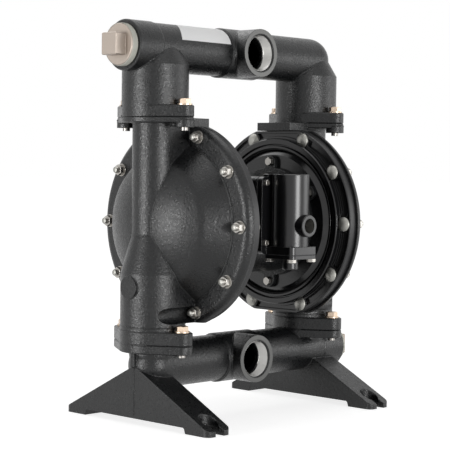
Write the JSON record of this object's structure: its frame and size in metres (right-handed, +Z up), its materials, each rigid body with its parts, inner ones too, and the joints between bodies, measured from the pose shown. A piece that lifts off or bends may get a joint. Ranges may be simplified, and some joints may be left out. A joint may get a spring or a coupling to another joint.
{
  "type": "air operated diaphragm pump",
  "caption": "Air operated diaphragm pump in black coated cast aluminium, with forward facing pipe ports, plugged manifold ends, ball check valves and slotted feet.",
  "frame": {"origin": "on the floor, under the middle of the pump, at the bottom centre of its bounding box", "axes": "+X along the diaphragm shaft, from the chamber over the closed lower elbow to the chamber over the lower pipe plug; -Y out of both ports and the air inlet; +Z up"},
  "size_m": [0.569, 0.344, 0.6445],
  "materials": {
    "powder_coat_black": "black textured powder coat",
    "gloss_black": "smooth gloss black enamel",
    "zinc_bright": "bright zinc plate",
    "zinc_warm": "zinc plate with a warm tint",
    "stainless": "turned and ground stainless steel",
    "rubber_black": "moulded rubber",
    "diaphragm_rubber": "fabric reinforced rubber",
    "acetal": "machined acetal",
    "bronze": "sintered bronze",
    "silencer_plastic": "moulded black plastic",
    "fibre_gasket": "pressed fibre gasket"
  },
  "bodies": {
    "casing": {"air_chamber_left": "gloss_black", "air_chamber_right": "gloss_black", "block_screws": "zinc_bright", "centre_block": "powder_coat_black", "chamber_bolts_left": "zinc_bright", "chamber_bolts_right": "zinc_bright", "chamber_nuts_left": "zinc_bright", "chamber_nuts_right": "zinc_bright", "chamber_washers_left": "zinc_bright", "chamber_washers_right": "zinc_bright", "diaphragm_left": "diaphragm_rubber", "diaphragm_right": "diaphragm_rubber", "discharge_manifold": "powder_coat_black", "discharge_manifold_bolts": "zinc_warm", "discharge_plug": "zinc_bright", "exhaust_silencer": "silencer_plastic", "inlet_seat_left": "stainless", "inlet_seat_right": "stainless", "inlet_seat_ring_left": "rubber_black", "inlet_seat_ring_right": "rubber_black", "outer_chamber_left": "powder_coat_black", "outer_chamber_right": "powder_coat_black", "outlet_seat_left": "stainless", "outlet_seat_right": "stainless", "outlet_seat_ring_left": "rubber_black", "outlet_seat_ring_right": "rubber_black", "pilot_bushes": "acetal", "shaft_bushes": "bronze", "shaft_seals": "rubber_black", "suction_manifold": "powder_coat_black", "suction_manifold_bolts": "zinc_warm", "suction_plug": "zinc_bright", "valve_body": "gloss_black", "valve_cap": "gloss_black", "valve_cap_gasket": "fibre_gasket", "valve_cap_screws": "zinc_bright", "valve_gasket": "fibre_gasket", "valve_screws": "zinc_bright", "valve_sleeve": "acetal"},
    "shaft": {"diaphragm_shaft": "stainless", "inner_plate_left": "stainless", "inner_plate_right": "stainless", "outer_plate_left": "stainless", "outer_plate_right": "stainless", "diaphragm_bolt_left": "stainless", "diaphragm_bolt_right": "stainless"},
    "pilot": {"pilot_rod": "stainless"},
    "spool": {"valve_spool": "acetal"},
    "inlet_ball_left": {"inlet_ball_left": "rubber_black"},
    "inlet_ball_right": {"inlet_ball_right": "rubber_black"},
    "outlet_ball_left": {"outlet_ball_left": "rubber_black"},
    "outlet_ball_right": {"outlet_ball_right": "rubber_black"}
  },
  "joints": [
    {"name": "shaft_slide", "type": "slide", "parent": "casing", "child": "shaft", "axis": [1, 0, 0], "range_m": [-0.03, 0.03], "deforming": ["diaphragm_left", "diaphragm_right"]},
    {"name": "pilot_slide", "type": "slide", "parent": "casing", "child": "pilot", "axis": [1, 0, 0], "range_m": [-0.006, 0.006]},
    {"name": "spool_slide", "type": "slide", "parent": "casing", "child": "spool", "axis": [0, 0, 1], "range_m": [0, 0.012]},
    {"name": "inlet_ball_left_lift", "type": "slide", "parent": "casing", "child": "inlet_ball_left", "axis": [0, 0, 1], "range_m": [0, 0.016]},
    {"name": "inlet_ball_right_lift", "type": "slide", "parent": "casing", "child": "inlet_ball_right", "axis": [0, 0, 1], "range_m": [0, 0.016]},
    {"name": "outlet_ball_left_lift", "type": "slide", "parent": "casing", "child": "outlet_ball_left", "axis": [0, 0, 1], "range_m": [0, 0.016]},
    {"name": "outlet_ball_right_lift", "type": "slide", "parent": "casing", "child": "outlet_ball_right", "axis": [0, 0, 1], "range_m": [0, 0.016]}
  ],
  "couplings": [
    {"joint": "pilot_slide", "follows": "shaft_slide", "ratio": 0.2}
  ]
}
